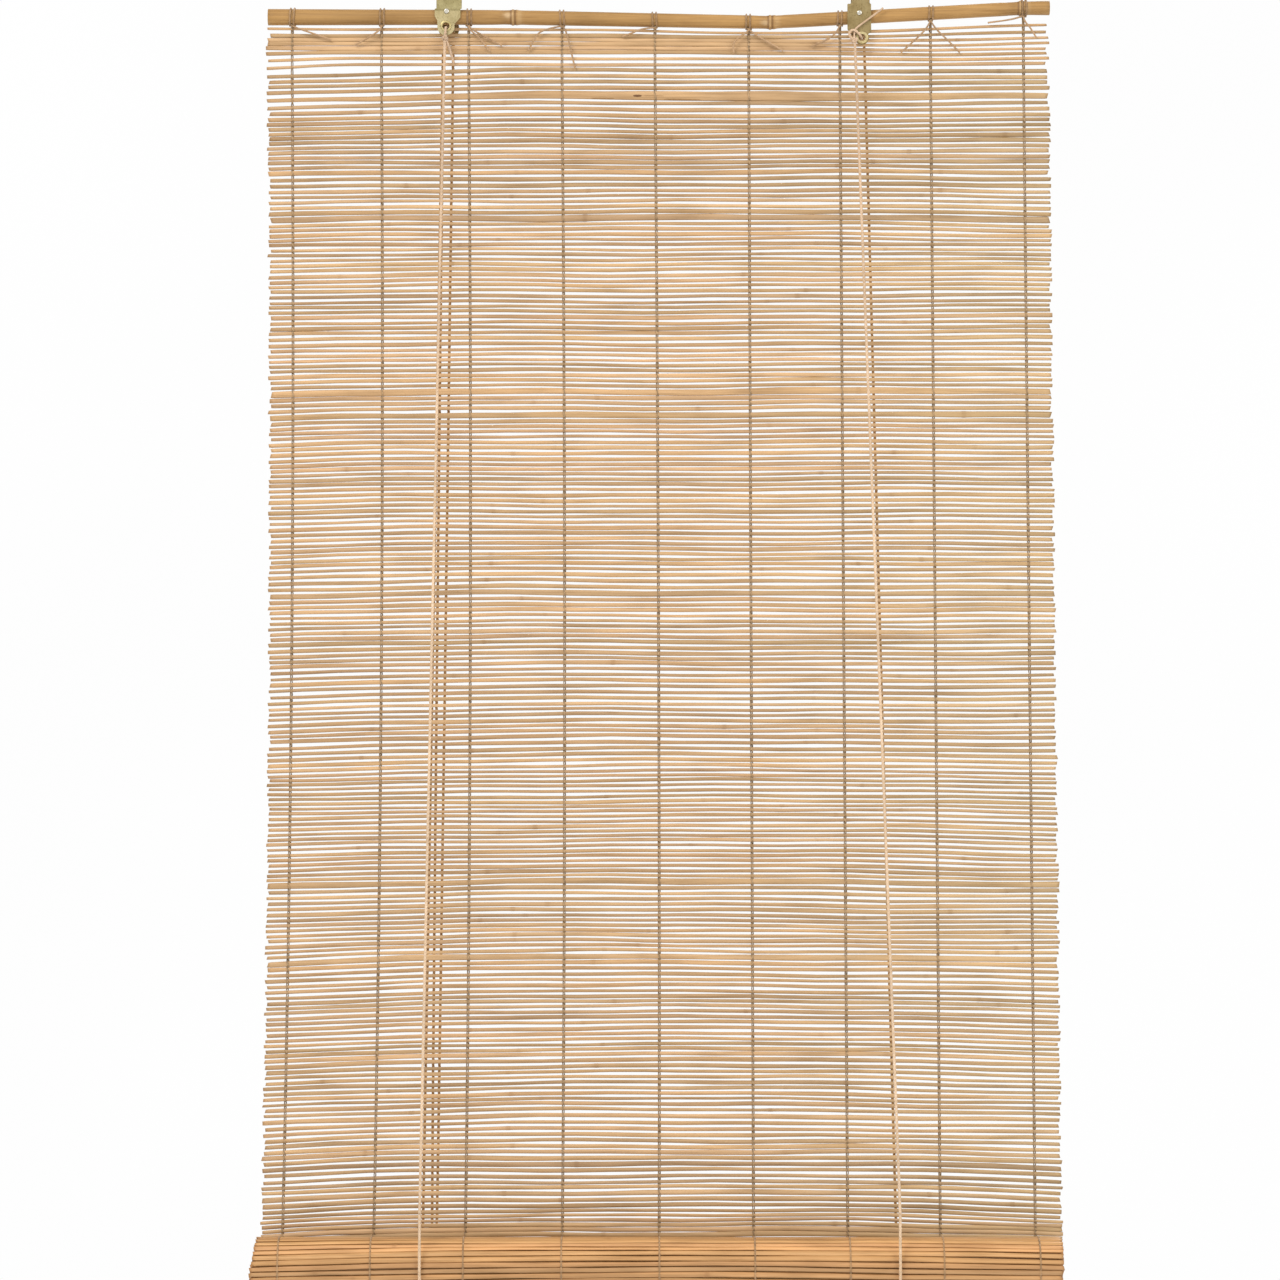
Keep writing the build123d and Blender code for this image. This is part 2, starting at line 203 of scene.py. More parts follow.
def carried(points, first=(1.0, 0.0, 0.0)):
    """Tangents and two cross axes along a line, carried without twist. The axes and the tangent are right-handed."""
    t = unit(np.gradient(points, axis=0))
    u = np.zeros_like(points)
    a = np.array(first, float)
    if abs(a @ t[0]) > 0.9:
        a = np.array((0.0, 1.0, 0.0))
    for i in range(len(points)):
        a = a - (a @ t[i]) * t[i]
        a /= np.linalg.norm(a)
        u[i] = a
    return t, u, np.cross(t, u)


def tube(points, radius, around=8, first=(1.0, 0.0, 0.0), flatten=1.0):
    """Rings of a round or flattened tube. radius is one number or one a ring."""
    points = np.asarray(points, float)
    t, u, v = carried(points, first)
    r = np.broadcast_to(np.asarray(radius, float), (len(points),))[:, None]
    a = np.arange(around) / around * TAU
    return points[:, None, :] + (r * np.cos(a))[:, :, None] * u[:, None, :] + (r * flatten * np.sin(a))[:, :, None] * v[:, None, :]


def spline(points, weights=None, fine=24):
    """Points read from the smooth line that these control points make."""
    data = bpy.data.curves.new("line", "CURVE")
    data.dimensions = "3D"
    data.resolution_u = fine
    s = data.splines.new("NURBS")
    s.points.add(len(points) - 1)
    for k, p in enumerate(points):
        s.points[k].co = (p[0] * MM, p[1] * MM, p[2] * MM, 1.0 if weights is None else weights[k])
    s.order_u = 3
    s.use_endpoint_u = True
    s.resolution_u = fine
    ob = bpy.data.objects.new("line", data)
    bpy.context.scene.collection.objects.link(ob)
    bpy.context.view_layer.update()
    me = bpy.data.meshes.new_from_object(ob)
    out = np.array([v.co for v in me.vertices], float) / MM
    bpy.data.meshes.remove(me)
    bpy.data.objects.remove(ob)
    bpy.data.curves.remove(data)
    return out


def even(line, step):
    """The same line, read at even steps."""
    s = np.concatenate([[0], np.cumsum(np.linalg.norm(np.diff(line, axis=0), axis=1))])
    at = np.linspace(0, s[-1], max(3, int(round(s[-1] / step)) + 1))
    return np.stack([np.interp(at, s, line[:, k]) for k in range(3)], 1), at


PALE = lin(236, 212, 180)
# SHADED is painted shade: the same cream cord made darker where it hangs behind the mat, turns under the roll or runs
# behind the cane.
SHADED = lin(200, 164, 122)
WORN = PALE * (0.72, 0.66, 0.65)
LOWER = PALE * (0.95, 0.91, 0.92)


def rope(line, radius=CORD_R, lay=7.6, step=0.8, around=15, seed=0, start=0.0, ends=(PALE, PALE), reach=1.0):
    """Rings of a three-strand laid cord along a line, and its tones, which go from one of ends to the other over a part reach of it."""
    p, s = even(line, step)
    t, u, v = carried(p, (1.0, 0.0, 0.0))
    turn = TAU * (s + start) / lay
    a = np.arange(around) / around * TAU
    near = np.abs((a + TAU / 6) % (TAU / 3) - TAU / 6)
    lobe = 0.464 * np.cos(near) + np.sqrt(0.536 ** 2 - (0.464 * np.sin(near)) ** 2)
    swell = 1 + 0.035 * np.sin(s * 0.31 + seed) + 0.025 * np.sin(s * 0.083 + 2 * seed)
    r = radius * 0.99 * np.minimum(swell, 1.03)[:, None] * lobe[None, :]
    ang = a[None, :] + turn[:, None]
    rings = p[:, None, :] + (r * np.cos(ang))[:, :, None] * u[:, None, :] + (r * np.sin(ang))[:, :, None] * v[:, None, :]
    shade = 0.93 + 0.07 * np.sin(s * 0.047 + seed)[:, None] * np.ones((1, around))
    # Painted shade: the grooves between the three strands are darker than their crowns.
    shade = shade * (0.80 + 0.20 * (lobe / lobe.max()) ** 2)[None, :]
    along = np.minimum(s / (reach * s[-1]), 1.0)[:, None]
    tone = (ends[0] * (1 - along) + ends[1] * along)[:, None, :] * shade[:, :, None]
    return rings, tone, p


# ---------------------------------------------------------------- materials

def nodes_of(name):
    m = bpy.data.materials.new(name)
    m.use_nodes = True
    n = m.node_tree.nodes
    return m, n, m.node_tree.links, n["Principled BSDF"]


def mapped(n, l, scale):
    c = n.new("ShaderNodeTexCoord")
    m = n.new("ShaderNodeMapping")
    m.inputs["Scale"].default_value = scale
    l.new(c.outputs["Object"], m.inputs["Vector"])
    return m.outputs["Vector"]


def noise(n, l, vector, scale=1.0, detail=3.0, rough=0.55, distort=0.0):
    t = n.new("ShaderNodeTexNoise")
    t.inputs["Scale"].default_value = scale
    t.inputs["Detail"].default_value = detail
    t.inputs["Roughness"].default_value = rough
    t.inputs["Distortion"].default_value = distort
    l.new(vector, t.inputs["Vector"])
    return t.outputs["Fac"]


def span(n, l, value, a, b, c, d):
    t = n.new("ShaderNodeMapRange")
    for k, x in zip(("From Min", "From Max", "To Min", "To Max"), (a, b, c, d)):
        t.inputs[k].default_value = x
    l.new(value, t.inputs["Value"])
    return t.outputs["Result"]


def ramp(n, l, value, *stops):
    t = n.new("ShaderNodeValToRGB")
    e = t.color_ramp.elements
    while len(e) < len(stops):
        e.new(0.5)
    for k, (at, colour) in enumerate(stops):
        e[k].position = at
        e[k].color = (*colour, 1.0)
    l.new(value, t.inputs["Fac"])
    return t.outputs["Color"]


def times(n, l, a, b):
    """Colour a multiplied by colour b."""
    t = n.new("ShaderNodeMix")
    t.data_type = "RGBA"
    t.blend_type = "MULTIPLY"
    t.inputs["Factor"].default_value = 1.0
    l.new(a, t.inputs[6])
    l.new(b, t.inputs[7])
    return t.outputs[2]


def tone_of(n):
    t = n.new("ShaderNodeAttribute")
    t.attribute_name = "Tone"
    return t.outputs["Color"]


def bump(n, l, shader, height, strength, distance, under=None):
    t = n.new("ShaderNodeBump")
    t.inputs["Strength"].default_value = strength
    t.inputs["Distance"].default_value = distance
    l.new(height, t.inputs["Height"])
    if under is not None:
        l.new(under, t.inputs["Normal"])
    l.new(t.outputs["Normal"], shader.inputs["Normal"])
    return t.outputs["Normal"]


def grey(v):
    return (v, v, v)


def bamboo(name, rough, coat, shine=0.35):
    m, n, l, s = nodes_of(name)
    streak = noise(n, l, mapped(n, l, (14, 620, 620)), 1.0, 4.0, 0.6)
    fibre = noise(n, l, mapped(n, l, (45, 2600, 2600)), 1.0, 3.0, 0.6)
    patch = noise(n, l, mapped(n, l, (22, 60, 60)), 1.0, 3.0, 0.5)
    c = times(n, l, tone_of(n), ramp(n, l, streak, (0.28, (0.74, 0.70, 0.64)), (0.5, (0.97, 0.96, 0.95)), (0.75, (1.12, 1.12, 1.12))))
    c = times(n, l, c, ramp(n, l, fibre, (0.27, (0.72, 0.66, 0.58)), (0.42, grey(0.98)), (0.8, grey(1.05))))
    c = times(n, l, c, ramp(n, l, patch, (0.30, (0.86, 0.84, 0.80)), (0.5, grey(1.0)), (0.72, (1.05, 1.04, 1.02))))
    l.new(c, s.inputs["Base Color"])
    l.new(span(n, l, streak, 0.3, 0.7, rough + 0.10, rough - 0.08), s.inputs["Roughness"])
    s.inputs["Specular IOR Level"].default_value = shine
    s.inputs["Coat Weight"].default_value = coat
    s.inputs["Coat Roughness"].default_value = 0.32
    under = bump(n, l, s, streak, 0.35, 0.00035)
    bump(n, l, s, fibre, 0.30, 0.00015, under)
    return m


def fibres(name, rough):
    m, n, l, s = nodes_of(name)
    hair = noise(n, l, mapped(n, l, (2600, 2600, 1500)), 1.0, 3.0, 0.65, 0.4)
    patch = noise(n, l, mapped(n, l, (130, 130, 130)), 1.0, 3.0, 0.5)
    c = times(n, l, tone_of(n), ramp(n, l, hair, (0.25, (0.68, 0.64, 0.58)), (0.5, grey(0.97)), (0.8, grey(1.10))))
    c = times(n, l, c, ramp(n, l, patch, (0.3, (0.86, 0.83, 0.78)), (0.55, grey(1.0)), (0.75, grey(1.06))))
    l.new(c, s.inputs["Base Color"])
    l.new(span(n, l, hair, 0.3, 0.7, rough, rough + 0.12), s.inputs["Roughness"])
    s.inputs["Specular IOR Level"].default_value = 0.2
    s.inputs["Sheen Weight"].default_value = 0.25
    s.inputs["Sheen Roughness"].default_value = 0.5
    bump(n, l, s, hair, 0.5, 0.0002)
    return m


def metal(name, dark, mid, light, rough, spot, fold=None):
    """fold is the height, in metres, above which the sheet is darker, with a line of painted shade along the fold
    itself.
    """
    m, n, l, s = nodes_of(name)
    cloud = noise(n, l, mapped(n, l, (70, 70, 70)), 1.0, 5.0, 0.6, 0.3)
    brush = noise(n, l, mapped(n, l, (2400, 900, 60)), 1.0, 3.0, 0.6)
    pit = noise(n, l, mapped(n, l, (900, 900, 900)), 1.0, 2.0, 0.5)
    c = ramp(n, l, cloud, (0.30, dark), (0.52, mid), (0.75, light))
    c = times(n, l, c, ramp(n, l, brush, (0.3, grey(0.88)), (0.6, grey(1.02)), (0.8, grey(1.07))))
    c = times(n, l, c, ramp(n, l, pit, (0.26, (0.52, 0.46, 0.36)), (0.36, grey(spot)), (0.5, grey(1.0))))
    if fold is not None:
        at = n.new("ShaderNodeSeparateXYZ")
        l.new(mapped(n, l, (1, 1, 1)), at.inputs["Vector"])
        up = span(n, l, at.outputs["Z"], fold - 0.0012, fold + 0.0012, 0.0, 1.0)
        # A narrow dark line at the fold is painted shade, and the sheet above it is darker.
        c = times(n, l, c, ramp(n, l, up, (0.0, grey(1.0)), (0.5, (0.62, 0.62, 0.56)), (1.0, (0.80, 0.82, 0.76))))
    l.new(c, s.inputs["Base Color"])
    s.inputs["Metallic"].default_value = 1.0
    l.new(span(n, l, cloud, 0.3, 0.7, rough + 0.14, rough - 0.08), s.inputs["Roughness"])
    under = bump(n, l, s, brush, 0.12, 0.0001)
    bump(n, l, s, pit, 0.15, 0.00012, under)
    return m


SLAT = bamboo("split_bamboo", 0.56, 0.0)
ROLLED = bamboo("split_bamboo_rolled", 0.52, 0.05)
CANE_SKIN = bamboo("bamboo_cane", 0.55, 0.03, 0.24)
YARN = fibres("warp_yarn", 0.80)
CORD = fibres("cotton_cord", 0.78)
BRASS = metal("aged_brass", lin(148, 135, 97), lin(178, 165, 126), lin(199, 188, 147), 0.42, 0.9, -0.0186)
DULL_BRASS = metal("dull_brass", lin(124, 107, 71), lin(146, 129, 91), lin(165, 149, 109), 0.46, 0.9)
PLATE_RING = metal("aged_brass_eyelet", lin(158, 142, 96), lin(188, 172, 124), lin(208, 195, 148), 0.40, 0.9)
RING = metal("eyelet_brass", lin(176, 158, 112), lin(206, 190, 142), lin(226, 214, 172), 0.34, 0.92)
WHEEL = metal("sheave_brass", lin(158, 130, 66), lin(190, 160, 92), lin(212, 184, 116), 0.36, 0.94)
STEEL = metal("rivet_steel", lin(188, 184, 172), lin(214, 210, 198), lin(234, 230, 220), 0.28, 0.94)


# ---------------------------------------------------------------- camera, light, floor

cam = bpy.data.objects.new("camera", bpy.data.cameras.new("camera"))
bpy.context.scene.collection.objects.link(cam)
cam.location = (-0.0105, -3.6, -0.8053)
cam.rotation_euler = (math.radians(94.8), 0, 0)
cam.data.sensor_fit = "HORIZONTAL"
cam.data.sensor_width = 36
cam.data.lens = 36 * 4753 / 1280
cam.data.clip_end = 60
bpy.context.scene.camera = cam
bpy.context.scene.view_settings.view_transform = "Standard"


def lamp(name, at, aim, size, power, colour=(1, 1, 1)):
    data = bpy.data.lights.new(name, "AREA")
    data.shape = "DISK"
    data.size = size
    data.energy = power
    data.color = colour
    ob = bpy.data.objects.new(name, data)
    bpy.context.scene.collection.objects.link(ob)
    ob.location = at
    ob.visible_camera = False
    d = np.array(aim, float) - np.array(at, float)
    ob.rotation_euler = (math.atan2(math.hypot(d[0], d[1]), -d[2]), 0, math.atan2(-d[0], d[1]))
    return ob


lamp("key", (-1.5, -2.3, 1.7), (0, 0, -0.55), 1.6, 70, (1.0, 0.975, 0.94))
lamp("fill", (1.9, -2.4, 0.6), (0, 0, -0.60), 1.8, 34, (1.0, 0.975, 0.94))
lamp("rear", (1.3, 2.6, 1.5), (0, 0, -0.55), 1.8, 52, (1.0, 0.985, 0.965))

world = bpy.data.worlds.new("studio")
bpy.context.scene.world = world
world.use_nodes = True
world.node_tree.nodes["Background"].inputs["Color"].default_value = (1.0, 0.985, 0.965, 1)
world.node_tree.nodes["Background"].inputs["Strength"].default_value = 0.80


def staged(name, verts, faces, material, smooth=True):
    me = bpy.data.meshes.new(name)
    me.from_pydata(verts, [], faces)
    me.polygons.foreach_set("use_smooth", [smooth] * len(me.polygons))
    me.materials.append(material)
    ob = bpy.data.objects.new(name, me)
    bpy.context.scene.collection.objects.link(ob)
    return ob


def backdrop():
    """A pale floor under the blind, and a white studio all round that gives no light of its own to the blind."""
    low, wide, around = -8.0, 24.0, 96
    turn = [TAU * k / around for k in range(around)]
    m, nd, l, s = nodes_of("studio_floor")
    c = ramp(nd, l, noise(nd, l, mapped(nd, l, (3, 3, 3)), 1.0, 3.0), (0.3, (0.90, 0.90, 0.895)), (0.7, (0.93, 0.93, 0.925)))
    l.new(c, s.inputs["Base Color"])
    s.inputs["Roughness"].default_value = 0.9
    s.inputs["Specular IOR Level"].default_value = 0.1
    s.inputs["Emission Color"].default_value = (1.0, 1.0, 1.0, 1.0)
    s.inputs["Emission Strength"].default_value = 0.50
    staged("floor", [(wide * math.cos(a), wide * math.sin(a), low) for a in turn], [tuple(range(around))], m, False)
    m, nd, l, s = nodes_of("studio_white")
    l.new(ramp(nd, l, noise(nd, l, mapped(nd, l, (0.2, 0.2, 0.2)), 1.0, 2.0), (0.3, grey(0.985)), (0.7, grey(1.0))), s.inputs["Emission Color"])
    s.inputs["Base Color"].default_value = (0.0, 0.0, 0.0, 1.0)
    s.inputs["Specular IOR Level"].default_value = 0.0
    s.inputs["Emission Strength"].default_value = 1.0
    prof = [(wide, low - 0.5)] + [(wide * math.cos(0.1 * k), low + wide * math.sin(0.1 * k)) for k in range(1, 16)]
    verts = [(r * math.cos(a), r * math.sin(a), z) for r, z in prof for a in turn]
    faces = [(i * around + k, (i + 1) * around + k, (i + 1) * around + (k + 1) % around, i * around + (k + 1) % around)
             for i in range(len(prof) - 1) for k in range(around)]
    faces.append(tuple((len(prof) - 1) * around + k for k in range(around)))
    dome = staged("studio", verts, faces, m)
    dome.visible_diffuse = dome.visible_glossy = dome.visible_transmission = dome.visible_shadow = False


backdrop()


# ---------------------------------------------------------------- cords

def cord(name, line, body, node, folds, seed, **kw):
    p = Piece()
    rings, tone, path = rope(line, seed=seed, **kw)
    p.strip(rings, tone, folds)
    return p.build(name, CORD, body, "cord", node), path


# The two cords in front of the mat run straight down from their knots to the roll.
for side, top, foot, seed, keep in (
    ("left", (-160.0, -10.3, -43.0), (-174.0, -51.9, -934.4), 1.0, 0.03533),
    ("right", (154.15, -10.3, -44.8), (182.5, -51.9, -934.4), 2.3, 0.03338),
):
    middle = tuple((a + b) / 2 for a, b in zip(top, foot))
    ob, _ = cord(f"{side}_front_rope", spline([top, middle, foot]), "head", f"{side}_front_leg", 12, seed, ends=(WORN, LOWER), reach=0.45)
    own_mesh(ob)

# Behind the mat they climb again to the sheaves.
for side, top, foot, seed in (
    ("left", (-161.9, 9.8, -28.0), (-174.0, 3.4, -954.4), 3.1),
    ("right", (161.9, 9.8, -28.0), (182.5, 3.4, -954.4), 4.4),
):
    middle = tuple((a + b) / 2 for a, b in zip(top, foot))
    ob, _ = cord(f"{side}_rear_rope", spline([top, middle, foot]), "head", f"{side}_rear_leg", 12, seed, ends=(SHADED, SHADED))
    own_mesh(ob)

# Under the roll.
for side, x, seed in (("left", -174.0, 5.2), ("right", 182.5, 6.1)):
    turn = [(x, -51.9, -934.5), (x, -51.9, -962.9), (x, -51.9, -986.1), (x, -35.7, -1002.3),
            (x, -12.8, -1002.3), (x, 3.4, -986.1), (x, 3.4, -962.9), (x, 3.4, -954.5)]
    cord(f"{side}_bight_rope", spline(turn), "cord_bights", f"{side}_cord_bight", 3, seed, ends=(LOWER, SHADED))

# Over the left inner sheave, and across behind the cane to the left outer one.
over = [(-161.9, 9.8, -28.0), (-161.9, 9.8, -26.4), (-159.6, 9.8, -24.1), (-156.4, 9.8, -24.1), (-154.1, 9.8, -26.4), (-154.1, 9.8, -28.0)]
cord("left_turn_rope", spline(over), "head", "left_cord_turn", 1, 7.0, step=0.5, ends=(SHADED, SHADED))
across = [(161.9, 9.8, -28.0), (161.9, 9.8, -26.4), (159.6, 9.83, -24.1), (154.0, 9.9, -24.1),
          (-154.0, 14.2, -24.1), (-159.6, 14.27, -24.1), (-161.9, 14.3, -26.4), (-161.9, 14.3, -28.0)]
cord("cross_rope", spline(across), "head", "cross_cord", 5, 8.0, ends=(SHADED, SHADED))

# The two pull cords hang behind the mat and end in one knot.
PULL = {
    "left": [(-154.1, 9.8, -28.0), (-163.0, 12.0, -945.0), (-164.6, 12.5, -985.8)],
    "right": [(-161.9, 14.3, -28.0), (-168.6, 13.2, -945.0), (-167.2, 12.5, -985.8)],
}
KNOT = np.array((-165.9, 12.5, -990.0))


def knotted(centre, size, seed, tilt, cord_r=CORD_R, ends=(PALE, PALE)):
    """Rings of a tight overhand knot."""
    t = np.linspace(0, TAU, 72)
    p = np.stack([np.sin(t) + 2 * np.sin(2 * t), -1.5 * np.sin(3 * t), np.cos(t) - 2 * np.cos(2 * t)], 1) * size / 3
    c, s = math.cos(tilt), math.sin(tilt)
    p = p @ np.array([[c, 0, s], [0, 1, 0], [-s, 0, c]]).T
    return rope(p + np.asarray(centre, float), radius=cord_r, lay=5.5, step=0.45, around=12, seed=seed, ends=ends)


pull = Piece()
rings, tone, _ = knotted(KNOT, 2.5, 1.0, 0.3, ends=(SHADED, SHADED))
pull.strip(rings, tone, 2)
for route, seed in (([KNOT + (-0.5, 0, -1), KNOT + (-1.6, -0.6, -4), KNOT + (-2.6, 0.2, -9.0)], 1.7),
                    ([KNOT + (0.6, 0, -1), KNOT + (1.9, 0.5, -3.6), KNOT + (2.4, -0.3, -7.5)], 2.9)):
    rings, tone, _ = rope(spline(route), radius=1.15, lay=6.5, step=0.5, seed=seed, ends=(SHADED, SHADED))
    pull.strip(rings, tone)
knot = pull.build("pull_knot_rope", CORD, "pull_ends", "cord", "pull_knot")

for side, seed in (("left", 9.0), ("right", 10.0)):
    route = PULL[side]
    p = Piece()
    rings, tone, path = rope(spline(route, fine=64), seed=seed, ends=(SHADED, SHADED))
    p.strip(rings, tone, 12)
    ob = p.build(f"{side}_pull_rope", CORD, None, "cord", f"{side}_pull_cord")
    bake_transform(ob)
    long = float(np.linalg.norm(np.diff(path, axis=0), axis=1).sum()) * MM

# The front cords' upper ends: a loop through each eyelet, a knot and a tail.
tie = Piece()
loop = [(-159.3, -6.9, -32.2), (-159.3, -9.4, -32.4), (-159.6, -9.9, -35.6), (-159.9, -10.2, -39.6), (-159.9, -8.6, -42.6),
        (-159.8, -5.6, -42.0), (-159.6, -4.2, -38.0), (-159.4, -4.2, -33.6), (-159.3, -5.0, -32.2), (-159.3, -6.9, -32.2)]
rings, tone, _ = rope(spline(loop), radius=1.1, lay=6.0, step=0.5, seed=3.0, ends=(WORN, WORN))
tie.strip(rings, tone, 1, caps=False)
rings, tone, _ = knotted((-159.94, -10.3, -40.9), 1.75, 4.0, 0.9, ends=(WORN, WORN))
tie.strip(rings, tone, 2)
rings, tone, _ = rope(spline([(-159.3, -9.6, -41.5), (-157.6, -9.0, -46.5), (-155.9, -5.0, -50.5), (-153.2, -4.2, -59.6)]), radius=1.22, lay=6.0, step=0.5, seed=5.0, ends=(WORN * 1.15, WORN * 1.12))
tie.strip(rings, tone)
tie.build("left_knot_rope", CORD, "head", "cord", "left_cord_knot")

tie = Piece()
loop = [(154.0, -10.3, -42.6), (152.2, -8.8, -43.6), (152.2, -5.4, -43.2), (154.8, -4.2, -42.0), (158.0, -4.3, -40.8), (159.1, -5.6, -40.3),
        (159.2, -8.2, -40.0), (158.4, -9.9, -39.0), (156.4, -10.2, -36.6), (152.8, -10.4, -34.4), (149.8, -10.5, -36.6), (150.2, -10.7, -40.6), (153.6, -10.5, -42.6)]
rings, tone, _ = rope(spline(loop), radius=1.1, lay=6.0, step=0.5, seed=6.0, ends=(WORN * 1.08, WORN * 1.08))
tie.strip(rings, tone, 2)
rings, tone, _ = knotted((154.06, -10.3, -42.5), 1.75, 7.0, 2.1, ends=(WORN * 1.04, WORN * 1.04))
tie.strip(rings, tone, 2)
tail = [(154.0, -10.2, -41.6), (153.6, -9.4, -38.0), (154.4, -9.3, -34.0), (157.4, -9.2, -31.4), (166.4, -8.8, -24.7), (176.0, -8.3, -17.3)]
rings, tone, _ = rope(spline(tail), radius=0.86, lay=4.6, step=0.5, seed=8.0, ends=(WORN * 1.08, WORN))
tie.strip(rings, tone, 2)
tie.build("right_knot_rope", CORD, "head", "cord", "right_cord_knot")


# ---------------------------------------------------------------- slats

def palette(i, k, base, spread):
    """A slat's own tone near base: lighter, darker, pinker or greener."""
    a, b, c = rnd(i, k) - 0.5, rnd(i, k + 1) - 0.5, rnd(i, k + 2) - 0.5
    e = rnd(i, k + 3)
    rgb = np.array(base, float) * (1 + spread * (1.4 * a + (0.35 if e > 0.94 else -0.45 if e < 0.05 else 0)))
    return rgb + spread * (np.array((34, -4, -10)) * b + np.array((10, 4, -44)) * c)


def section(height, thick, soft):
    """The outline of a split slat: a flat front and back and rounded edges. y then z."""
    a, b = 0.5 * thick, 0.5 * height
    return np.array([(a, -b * soft), (a, b * soft), (0.3 * a, b), (-0.3 * a, b), (-a, b * soft), (-a, -b * soft), (-0.3 * a, -b), (0.3 * a, -b)])


def stray(i, x):
    """How far slat i wanders from its straight line."""
    x = np.asarray(x, float)
    shared = 0.55 * np.sin(TAU * (x / 430 + slow(i / 23, 31))) + 0.34 * np.sin(TAU * (x / 190 + slow(i / 12, 32)))
    own = 0.24 * np.sin(TAU * (x / 260 + rnd(i, 33))) + 0.15 * np.sin(TAU * (x / 85 + rnd(i, 34)))
    left = (2.0 + 3.6 * math.exp(-abs(i) / 5) + 4.8 * (max(i, 0) / 220) ** 2 + 2.4 * (slow(i / 9, 36) - 0.5)) * np.maximum(0, (-x - 70) / 226) ** 2
    right = (0.4 + 3.6 * (max(i, 0) / 220) ** 2 + 1.8 * (slow(i / 9, 37) - 0.5)) * np.maximum(0, (x - 70) / 235) ** 2
    return shared + own + 1.0 * (slow(i / 15, 35) - 0.5) * x / 300 - left - right


# Painted light and shade round each slat's outline, in the order of section(): on the mat the top edge is lighter and
# the lower edge darker, as under light from above, and the back a little darker than the front. On the roll the edges
# that face the next slats and the inner side are darker, as the shade in the gaps between wound slats.
MAT_EDGE_PAINTED_LIGHT = (0.92, 0.96, 1.02, 1.05, 1.04, 0.97, 0.84, 0.82)
ROLL_EDGE_PAINTED_SHADE = (0.80, 0.80, 0.54, 0.58, 1.04, 0.97, 0.55, 0.50)


def slat(i, k, x0, x1, middle, height, thick, base, spread, coarse, edge=MAT_EDGE_PAINTED_LIGHT, taper=None, painted_shade_tint=(1.0, 1.12, 1.25)):
    """Rings and tones of one slat from x0 to x1. middle(x) is its height at x."""
    knots = [x0 + 40 + 250 * rnd(i, k + 41) + m * (250 + 90 * rnd(i, k + 42)) for m in range(3)]
    knots = [x for m, x in enumerate(knots) if x0 + 12 < x < x1 - 12 and rnd(i, k + 46 + m) < 0.42]
    xs = list(np.linspace(x0, x1, coarse)) + [x0 + 2.5, x1 - 2.5]
    for x in knots:
        xs += [x - 7, x - 2.4, x - 0.9, x + 0.9, x + 2.4, x + 7]
    xs = np.array(sorted(xs))
    joint = np.zeros(len(xs))
    for m, x in enumerate(knots):
        joint += (0.35 + 0.65 * rnd(i, k + 43 + m)) * np.exp(-((xs - x) / 2.0) ** 2)
    wide = 1 + 0.10 * np.sin(TAU * (xs / 330 + rnd(i, k + 50))) + 0.05 * np.sin(TAU * (xs / 95 + rnd(i, k + 51))) + 0.13 * joint
    if taper is not None:
        wide = wide * np.interp(xs, *taper)
    wide[[0, -1]] *= 0.90
    roll = 0.16 * (rnd(i, k + 52) - 0.5) + 0.10 * np.sin(TAU * (xs / 400 + rnd(i, k + 53)))
    base_y = 0.07 * np.sin(TAU * (xs / 210 + rnd(i, k + 54)))
    sec = section(1.0, 1.0, 0.70 + 0.12 * rnd(i, k + 55))
    y = sec[None, :, 0] * (thick * (1 + 0.10 * joint))[:, None]
    z = sec[None, :, 1] * (height * wide)[:, None]
    yy = y * np.cos(roll)[:, None] - z * np.sin(roll)[:, None]
    zz = y * np.sin(roll)[:, None] + z * np.cos(roll)[:, None]
    skew = np.zeros(len(xs))
    skew[0], skew[-1] = 0.7 * (rnd(i, k + 56) - 0.5), 0.7 * (rnd(i, k + 57) - 0.5)
    x = np.broadcast_to(xs[:, None], yy.shape) + skew[:, None] * zz
    rgb = lin(*np.clip(palette(i, k + 60, base, spread), 0, 255))
    shade = 1 + 0.05 * np.sin(TAU * (xs / 240 + rnd(i, k + 58))) + 0.03 * np.sin(TAU * (xs / 71 + rnd(i, k + 59)))
    tone = rgb[None, :] * shade[:, None]
    tone = tone * (1 - joint[:, None] * np.array((0.22, 0.27, 0.32)))
    tone[[0, -1]] *= np.array((0.86, 0.82, 0.76))
    # Painted light and shade: the edge tones lighten and darken the outline, and the last factor tints that painted
    # shade channel by channel, warmer where darker.
    tone = tone[:, None, :] * np.array(edge)[None, :, None] ** np.array(painted_shade_tint)
    return x, base_y[:, None] + yy, np.asarray(middle(xs), float)[:, None] + zz, tone


MAT_TONE = (179, 146, 107)
BANDS = 6
PITCH = (TOP_END_Z - ROLL_Z) / SLATS


def flat_middle(i):
    return lambda x: ROWS[i][0] + stray(i, x)


def lean(z):
    """The mat hangs a little forward of upright, towards the rear of the roll."""
    return -1.6 * np.clip((TOP_END_Z - z) / (TOP_END_Z - ROLL_Z), 0, 1)


